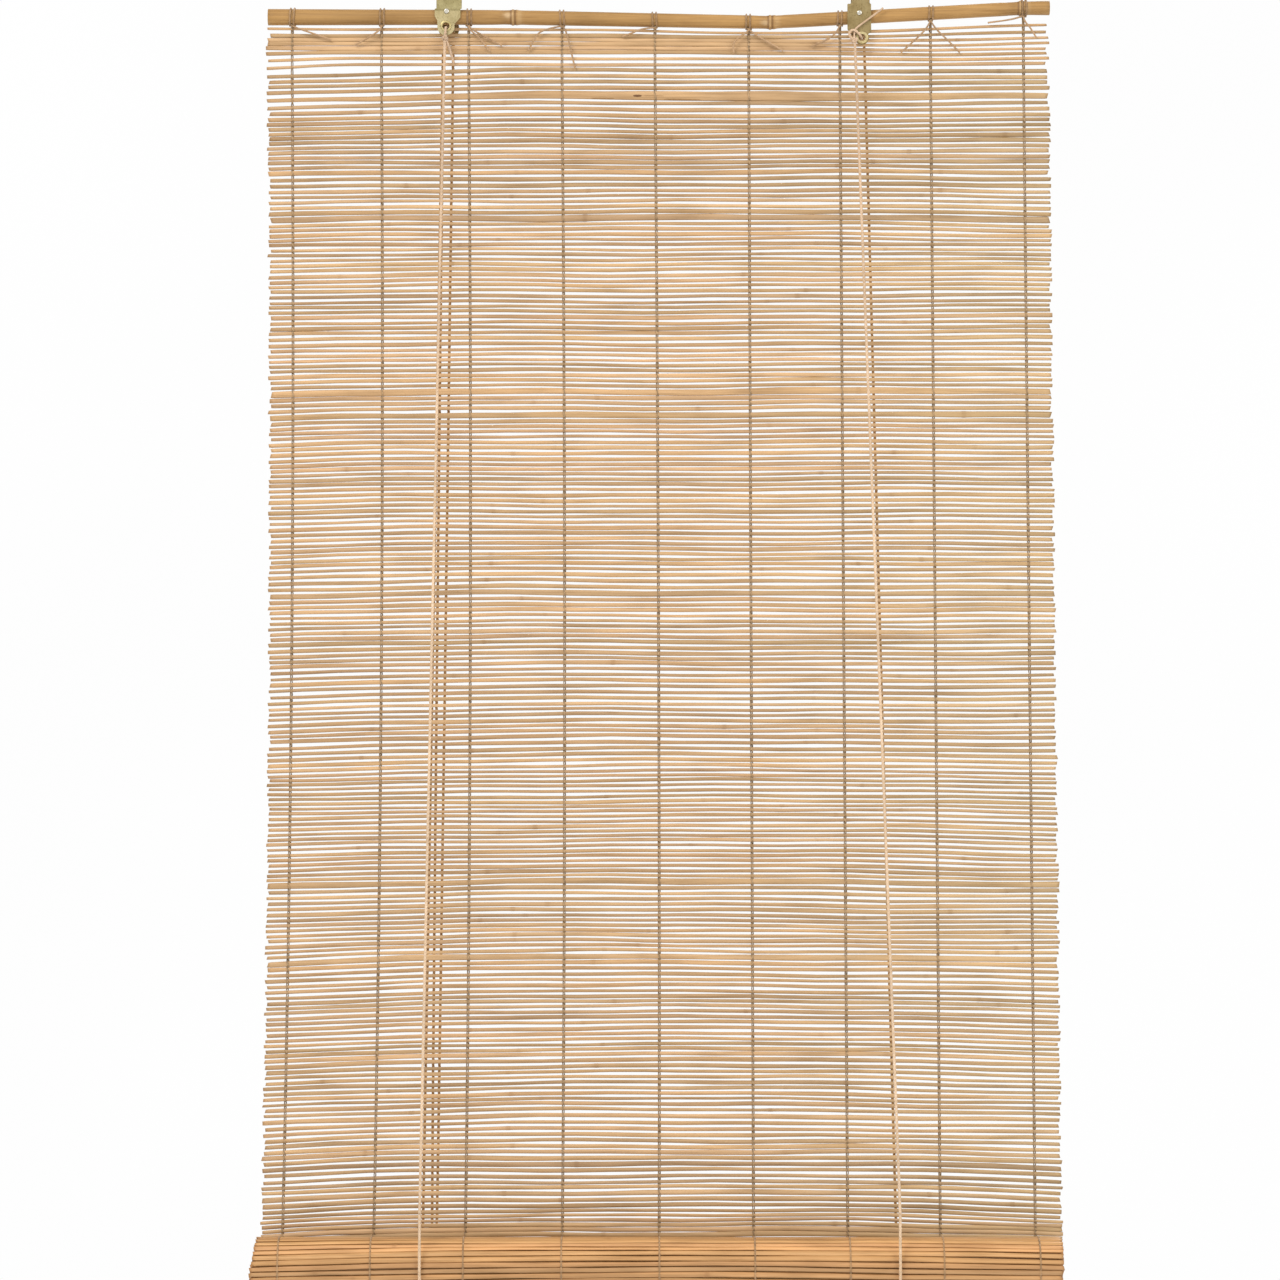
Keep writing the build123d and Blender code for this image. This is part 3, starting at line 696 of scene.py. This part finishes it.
for b in range(BANDS):
    p = Piece()
    for i in range(SLATS * b // BANDS, SLATS * (b + 1) // BANDS):
        z, h, x0, x1 = ROWS[i]
        h *= 1.03
        if len(TOP_PITCH) < i < SLATS - 1:
            # Slats that lie closer are a little more slender.
            h *= (0.5 * (ROWS[i - 1][0] - ROWS[i + 1][0]) / PITCH) ** 0.55
        near = max(0.0, 1 - i / 34)
        tone = [v * (1 - 0.075 * near) for v in MAT_TONE]
        h *= 1 + 0.07 * min(1.0, max(0.0, (36 - i) / 16))
        taper = None
        if i == WIDE_SLAT:
            # One broad slat, slender at its left end, with a knot in it.
            taper = ((-296, -240, -120, -50, 60, 150, 304), (0.42, 0.50, 0.80, 1.10, 1.12, 0.95, 0.72))
        elif i > 185:
            h *= 1 + 0.14 * min(1.0, (i - 185) / 20) + 0.22 * max(0.0, min(1.0, (i - 208) / 8))
        x, y, zz, tone = slat(i, 100, x0, x1, flat_middle(i), h, SLAT_T, tone, 0.10, 24, taper=taper)
        # The skin side is a little greener towards the right.
        tone = tone * (1 + np.clip((x - 60) / 240, 0, 1)[:, :, None] * np.array((-0.01, 0.06, 0.09)))
        p.strip(np.stack([x, y + lean(z), zz], -1), tone)
        if i == WIDE_SLAT:
            for at, up, long, tall, deep in ((-12.4, -0.1, 3.6, 1.0, 0.30), (0.0, -0.2, 10.0, 0.36, 0.22), (-11.5, 2.75, 20.0, 0.34, 0.26),
                                             (-39.0, -2.5, 9.0, 0.34, 0.24), (21.5, -2.75, 14.0, 0.36, 0.26)):
                q = np.linspace(-1, 1, 13)
                r = np.sqrt(np.maximum(1 - q ** 2, 0.02))
                c = np.arange(8) / 8 * TAU
                mid = flat_middle(i)(at + q * long) + up
                rings = np.stack([np.broadcast_to((at + q * long)[:, None], (13, 8)), -0.66 + r[:, None] * deep * np.cos(c), mid[:, None] + r[:, None] * tall * np.sin(c)], -1)
                p.strip(rings, lin(104, 72, 40) if tall > 0.9 else lin(142, 108, 68))
    ob = p.build(f"mat_band_{b + 1}", SLAT, "head", "bamboo", "mat_slats")
    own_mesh(ob)

# The slats under the cane bend with it, and from the third to the sixth they touch over most of the width.
TOP_X = (-296.4, -241, -118, -41, 36, 112, 189, 235, 304.3)
TOP_Z = (
    (-31.8, -32.2, -32.2, -32.6, -34.5, -35.6, -32.9, -31.0, -28.3), (-37.2, -37.2, -36.9, -37.2, -38.2, -38.4, -37.2, -35.7, -33.8),
    (-40.3, -40.3, -39.9, -40.3, -41.1, -41.3, -41.1, -40.3, -38.4), (-43.4, -43.4, -43.2, -43.4, -44.0, -44.2, -44.8, -44.6, -42.6),
    (-46.9, -46.9, -46.7, -46.7, -47.1, -47.2, -48.4, -48.4, -46.9), (-51.5, -50.1, -50.0, -49.8, -50.3, -50.6, -51.9, -51.9, -50.7),
    (-57.0, -54.6, -54.8, -55.1, -55.3, -54.9, -55.7, -55.5, -54.6), (-63.2, -59.4, -59.6, -59.8, -60.1, -59.2, -59.8, -59.1, -58.7),
)
TOP_TALL = (2.1, 3.15, 3.15, 3.1, 3.3, 3.3, 2.5, 2.5)
TOP = []
for i in range(TOP_SLATS):
    TOP.append((TOP_Z[i], TOP_TALL[i], MAT_LEFT + 4 * (rnd(i, 22) - 0.5), MAT_RIGHT - 3 + 4 * (rnd(i, 23) - 0.5)))


def top_middle(i):
    def at(x):
        x = np.asarray(x, float)
        near = [np.interp(x + d, TOP_X, TOP[i][0]) for d in (-24, -12, 0, 12, 24)]
        return np.mean(near, axis=0) + 0.18 * np.sin(TAU * (x / 140 + rnd(i, 24)))

    return at


p = Piece()
for i, (line, h, x0, x1) in enumerate(TOP):
    taper = ((-296, 100, 180, 304), (1.0, 1.0, 0.74, 0.70)) if 0 < i < 6 else None
    x, y, zz, tone = slat(i, 300, x0, x1, top_middle(i), h, SLAT_T, MAT_TONE, 0.10, 36, taper=taper)
    p.strip(np.stack([x, y, zz], -1), tone)
p.build("top_slats", SLAT, "head", "bamboo", "mat_top_slats")


# ---------------------------------------------------------------- warp yarns

YARN_TONE = lin(156, 130, 97)
TAIL_TONE = lin(196, 161, 124)


def yarn_tone(s, seed):
    return YARN_TONE[None, :] * (1 + 0.14 * np.sin(s * 0.9 + seed) + 0.10 * np.sin(s * 0.13 + 2 * seed))[:, None]


def twine(n, rows, flip, reach=1.16, above=None):
    """The middle lines of two yarns that cross between slats, and a painted light for each point: lighter over the
    slats, darker where the yarns cross in the shade between them. rows is (middle, half height) from the top down.
    """
    lines = []
    for which in (1, -1):
        pts, light, side = [], [], which * flip
        if above is not None:
            x = WARP_X[n]
            pts += [(x + 0.9 * side, side * 1.4, above), (x + 0.6 * side, side * 1.2, 0.5 * (above + rows[0][0] + rows[0][1]))]
            light += [0.8, 0.8]
        for k, (z, h) in enumerate(rows):
            x, y = warp_at(n, z), lean(z)
            pts += [(x + 0.52 * side, y + side * reach * 0.93, z + h), (x, y + side * reach, z), (x - 0.52 * side, y + side * reach * 0.93, z - h)]
            # Painted light and shade: lighter where the yarn lies over a slat, darker where the yarns cross between
            # slats.
            light += [0.82, 1.18, 0.82]
            if k + 1 < len(rows):
                pts.append((x - 0.66 * side, y, (z - h + rows[k + 1][0] + rows[k + 1][1]) / 2))
                light.append(0.56)
            side = -side
        lines.append((np.array(pts), np.array(light)[:, None]))
    return lines


def yarn(points, around=6, wide=0.60, thin=0.42):
    return tube(points, wide, around, (1.0, 0.0, 0.0), thin / wide)


ties = Piece()
for n, x in enumerate(WARP_X):
    rows = [(float(flat_middle(i)(warp_at(n, ROWS[i][0]))), 0.5 * ROWS[i][1]) for i in range(SLATS)]
    p = Piece()
    for k, (line, light) in enumerate(twine(n, rows, 1 if n % 2 else -1)):
        p.strip(yarn(line), yarn_tone(np.arange(len(line)) * 1.0, n + k) * light, 10)
    ob = p.build(f"warp_yarn_{n + 1}", YARN, "head", "warp_yarn", f"warp_thread_{n + 1}")
    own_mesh(ob)

    # The upper end: crossed between the bent slats, two turns round the cane and a knot under it.
    head = [(float(top_middle(i)(x)), 0.46 * TOP[i][1]) for i in range(TOP_SLATS)] + [rows[0]]
    zc, r = cane_at(x)
    for k, (line, light) in enumerate(twine(n, head, 1 if (n + TOP_SLATS) % 2 else -1, above=float(zc - r + 0.2))):
        ties.strip(yarn(line), yarn_tone(np.arange(len(line)) * 1.0, n + k + 20) * light)
    ring = r + (1.35 if min(abs(x - q) for q in CANE_NODES) < 4 else 0.6)
    for k in range(2):
        a = np.linspace(-0.5 * math.pi, 1.5 * math.pi + 0.35, 40)
        at = x - 1.45 + 2.9 * k + 0.6 * np.sin(a * 0.5 + n)
        line = np.stack([at, -np.cos(a) * ring, zc + np.sin(a) * ring], 1)
        ties.strip(tube(line, 0.62, 6), yarn_tone(np.arange(40) * 1.4, n + 3 * k) * np.array((0.92, 0.84, 0.76)))
    t = np.linspace(0, TAU, 42)
    lump = np.stack([np.sin(t) + 2 * np.sin(2 * t), -1.3 * np.sin(3 * t), np.cos(t) - 2 * np.cos(2 * t)], 1) * 0.42
    a = 0.7 * n
    lump = lump @ np.array([[math.cos(a), 0, math.sin(a)], [0, 1, 0], [-math.sin(a), 0, math.cos(a)]]).T
    ties.strip(tube(lump + (x, -2.2, zc - r - 0.9), 0.5, 6), yarn_tone(t * 3, n + 9))

# Loose ends, from the knots.
TAILS = (
    (0, (-275.2, -31.4), (-262.2, -36.1), (-247.6, -40.7)), (1, (-208.5, -32.2), (-217.6, -39.2), (-229.1, -44.6)),
    (2, (-142.5, -32.2), (-133.2, -39.9), (-125.6, -50.1)), (2, (-140.9, -32.2), (-128.6, -39.2), (-116.4, -45.4)),
    (3, (-86.5, -32.9), (-91.8, -41.5), (-96.4, -49.3)), (3, (-68.1, -31.4), (-64.2, -46.2), (-60.3, -63.3)),
    (4, (-9.0, -32.2), (-16.6, -36.1), (-24.3, -38.4)), (5, (73.1, -34.5), (59.3, -43.1), (61.6, -50.8)),
    (5, (75.4, -35.3), (87.7, -43.1), (99.2, -49.3)), (6, (139.9, -36.8), (130.7, -42.3), (120.7, -46.2)),
    (7, (210.5, -31.4), (199.7, -42.3), (189.7, -50.8)), (7, (215.9, -32.2), (225.8, -41.5), (234.9, -50.8)),
    (8, (278.8, -24.4), (267.3, -26.7), (256.6, -27.5)), (8, (284.2, -25.9), (289.5, -32.2), (293.3, -38.4)),
)
for k, (n, a, b, c) in enumerate(TAILS):
    x = WARP_X[n]
    zc, r = cane_at(x)
    line = spline([(x, -2.6, zc - r - 0.9), (a[0], -3.6, a[1]), (b[0], -4.2 - 1.2 * rnd(k, 71), b[1]), (c[0], -2.6, c[1])], fine=10)
    rings, tone, _ = rope(line, radius=0.80, lay=3.4, step=0.4, around=9, seed=k, ends=(TAIL_TONE * 0.8, TAIL_TONE))
    ties.strip(rings, tone)
ties.build("warp_ties", YARN, "head", "warp_yarn")


# ---------------------------------------------------------------- roll

ROLL_TONE = (185, 142, 95)
R_OUT, LAYER = 22.95, 2.15


def wound():
    """(turn angle, radius, width) of each rolled slat, from the rear of the outside turn inwards."""
    out, a, i = [], 0.03, 0
    while True:
        r = R_OUT - LAYER * a / TAU
        if r < 5.6:
            return out
        w = 3.45 * (1 + 0.34 * (rnd(i, 81) - 0.5))
        if rnd(i, 82) > 0.94:
            w *= 1.35
        gap = 0.25 + 0.75 * rnd(i, 85) ** 2
        a += 0.5 * (w + gap) / r
        out.append((a, R_OUT - LAYER * a / TAU, w))
        a += 0.5 * (w + gap) / r
        i += 1


WOUND = wound()


def on_roll(a, r, x, out):
    """A point on the roll. Angle 0 is the rear, a quarter turn is the bottom and half a turn the front."""
    droop = 0.20 * np.maximum(0, (-x - 20) / 280) ** 1.6 + 0.13 * np.maximum(0, (x - 20) / 285) ** 1.6
    a = a - droop * (0.5 - 0.5 * np.cos(a))
    return ROLL_Y + np.cos(a) * (r + out), ROLL_Z - np.sin(a) * (r + out)


def wander(i, x):
    return 0.30 * np.sin(TAU * (x / 330 + slow(i / 7, 86))) + 0.20 * np.sin(TAU * (x / 210 + rnd(i, 87))) + 0.10 * np.sin(TAU * (x / 80 + rnd(i, 88)))


OUTER = sum(1 for a, r, w in WOUND if a < 1.6 * TAU)
for name, low, high in (("roll_outside", 0, OUTER), ("roll_inside", OUTER, len(WOUND))):
    p = Piece()
    for i in range(low, high):
        a, r, w = WOUND[i]
        x0 = -296.0 - 4.4 * max(0.0, -math.cos(a + 0.35)) + 1.6 * (rnd(i, 83) - 0.5)
        x1 = 303.4 + 2.0 * (rnd(i, 84) - 0.5)
        # The roll's edge tones paint shade into the gaps between the wound slats and on their inner sides, tinted warm.
        x, y, z, tone = slat(i, 500, x0, x1, lambda q: wander(i, q), w, SLAT_T, ROLL_TONE, 0.16, 22 if i < OUTER else 10, ROLL_EDGE_PAINTED_SHADE, painted_shade_tint=(0.72, 1.12, 1.85))
        # y is depth in the slat and z is along the turn. Outwards is towards the face of the slat.
        ang = a - z / r
        px, pz = on_roll(ang, r, x, -y)
        p.strip(np.stack([x, px, pz], -1), tone)
    p.build(name, ROLLED, "roll", "bamboo", *(["mat_roll"] if low == 0 else []))

p = Piece()
for n, x in enumerate(WARP_LOW_X):
    for which in (1, -1):
        pts, side = [], which * (1 if n % 2 else -1)
        last = min(len(WOUND), int(OUTER * 0.75))
        for i in range(last):
            a, r, w = WOUND[i]
            h = 0.5 * w / r
            for d, q in ((-h, 0.90), (0.0, 1.0), (h, 0.90)):
                y, z = on_roll(a + d, r, np.float64(x), side * 1.10 * q)
                pts.append((x + 0.04 * side, y, z))
            if i + 1 < last:
                m = (a + h + WOUND[i + 1][0] - 0.5 * WOUND[i + 1][2] / WOUND[i + 1][1]) / 2
                y, z = on_roll(m, r, np.float64(x), 0.0)
                pts.append((x + 0.42 * side, y, z))
            side = -side
        line = np.array(pts)
        p.strip(yarn(line, wide=0.58, thin=0.34), yarn_tone(np.arange(len(line)) * 1.0, n + which) * np.array((1.12, 1.02, 0.94)), 2)
p.build("roll_yarn", YARN, "roll", "warp_yarn")


# ---------------------------------------------------------------- cane

def cane():
    p = Piece()
    around = 44
    xs = set(np.linspace(-296.2, 304.1, 130).tolist())
    for q in CANE_NODES:
        xs |= set((q + np.array((-9, -6, -4.2, -3, -2.2, -1.5, -0.9, -0.3, 0.3, 0.9, 1.5, 2.2, 3, 4.2, 6, 9))).tolist())
    xs = np.array(sorted(x for x in xs if -296.3 < x < 304.2))
    a = np.arange(around) / around * TAU
    z, r = cane_at(xs)
    z = np.convolve(np.pad(z, 2, mode="edge"), np.ones(5) / 5, "valid")
    r = r[:, None] * (1 + 0.018 * np.cos(2 * a[None, :] + xs[:, None] / 170) + 0.010 * np.sin(3 * a[None, :] + xs[:, None] / 90))
    mark = np.zeros((len(xs), around))
    pale = np.zeros((len(xs), around))
    for k, q in enumerate(CANE_NODES):
        d = xs - q
        r = r * (1 - 0.035 * np.exp(-((d + 7) / 5.0) ** 2) - 0.02 * np.exp(-((d - 9) / 5.0) ** 2))[:, None]
        r = r + (0.72 * np.exp(-(d / 1.1) ** 2) + 0.42 * np.exp(-((d - 3.1) / 1.3) ** 2))[:, None]
        mark += (0.95 * np.exp(-((d - 1.7) / 0.75) ** 2) + 0.75 * np.exp(-((d + 1.5) / 0.7) ** 2) + 0.25 * np.exp(-((d + 5) / 4.0) ** 2))[:, None]
        pale += (0.35 * np.exp(-((d - 5.0) / 2.0) ** 2) + 0.45 * np.exp(-(d / 0.8) ** 2))[:, None]
        # The scar of a side shoot, on the front of the first node and elsewhere on the others.
        spot = (math.pi - 0.1, math.pi + 0.3, 0.4)[k]
        turn = np.abs((a - spot + math.pi) % TAU - math.pi)
        bud = np.exp(-((d + 4.0) / 2.4) ** 2)[:, None] * np.exp(-(turn / 0.36) ** 2)[None, :]
        r = r + 0.50 * bud
        pale += 1.5 * bud
    y = 0.25 * np.sin(xs / 61.0)
    rings = np.stack([np.broadcast_to(xs[:, None], r.shape), y[:, None] + r * np.cos(a)[None, :], z[:, None] + r * np.sin(a)[None, :]], -1)
    streak = np.array([0.93 + 0.14 * slow(j * 0.9, 91) for j in range(around)])[None, :]
    drift = (1 + 0.08 * np.sin(xs / 83.0) + 0.05 * np.sin(xs / 29.0))[:, None]
    tone = lin(161, 125, 76)[None, None, :] * (streak * drift)[:, :, None]
    tone = tone + np.clip(pale, 0, 1)[:, :, None] * (lin(214, 188, 148)[None, None, :] - tone) * 0.6
    tone = tone * (1 - np.clip(mark, 0, 1)[:, :, None] * np.array((0.56, 0.62, 0.62)))
    # Hollow ends, with a rounded lip, and the bore painted dark as shade.
    inside = {}
    for end, bore, depth in ((0, 3.0, 45.0), (-1, 2.6, 14.0)):
        c = rings[end].mean(0)
        d = rings[end] - c
        size = np.linalg.norm(d, axis=1, keepdims=True)
        way = -1 if end == 0 else 1
        lip = []
        for out, shrink in ((0.10, 0.35), (0.16, 1.0)):
            lip.append(c + d * (1 - shrink / size) + np.array((way * out, 0, 0)))
        lip.append(c + d * (bore + 0.35) / size + np.array((way * 0.12, 0, 0)))
        lip.append(c + d * bore / size + np.array((-way * 0.4, 0, 0)))
        far = c + np.array((-way * depth, 0, 0))
        far[2] = cane_at(far[0])[0]
        lip.append(far + d * bore / size)
        inside[end] = lip
    rim = lin(206, 176, 130)
    # Painted shade: the inside of the bore is darker than the cane, for the shade in the hollow.
    bore_shade = lin(120, 88, 56)
    first = [lip for lip in inside[0][::-1]]
    last = inside[-1]
    rings = np.concatenate([np.array(first), rings, np.array(last)])
    t0 = np.array([bore_shade, bore_shade, rim * 0.8, rim, rim])[:, None, :] * np.ones((1, around, 1))
    tone = np.concatenate([t0, tone, t0[::-1]])
    p.strip(rings, tone, 5)
    p.build("cane_pole", CANE_SKIN, "head", "cane", "head_cane")


cane()


# ---------------------------------------------------------------- metal

def paint(material, *names):
    for name in names:
        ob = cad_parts[name]
        for s in ob.material_slots:
            s.link = "OBJECT"
            s.material = material
        if not ob.material_slots:
            ob.data.materials.append(material)


paint(BRASS, "left_bracket", "left_inner_cheek")
paint(DULL_BRASS, "right_bracket", "right_inner_cheek")
paint(PLATE_RING, "left_eyelet")
paint(RING, "right_eyelet")
paint(STEEL, "left_rivet", "right_rivet", "left_axle", "right_axle")
paint(WHEEL, "left_inner_sheave", "left_outer_sheave", "right_sheave")


def bottom_bar():
    """The split cane that the mat is rolled on."""
    p = Piece()
    xs = np.linspace(-299.5, 303.0, 60)
    a = np.arange(20) / 20 * TAU
    r = 4.1 * (1 + 0.02 * np.sin(xs / 47.0)[:, None] + 0.02 * np.cos(2 * a)[None, :])
    r = r * (1 - 0.10 * ((xs == xs[0]) | (xs == xs[-1])))[:, None]
    rings = np.stack([np.broadcast_to(xs[:, None], r.shape), ROLL_Y + r * np.cos(a), ROLL_Z + r * np.sin(a)], -1)
    tone = lin(184, 142, 92)[None, :] * (1 + 0.08 * np.sin(xs / 31.0))[:, None]
    p.strip(rings, tone, 4)
    p.build("bottom_bar", CANE_SKIN, "roll", "cane", "roll_core")


bottom_bar()
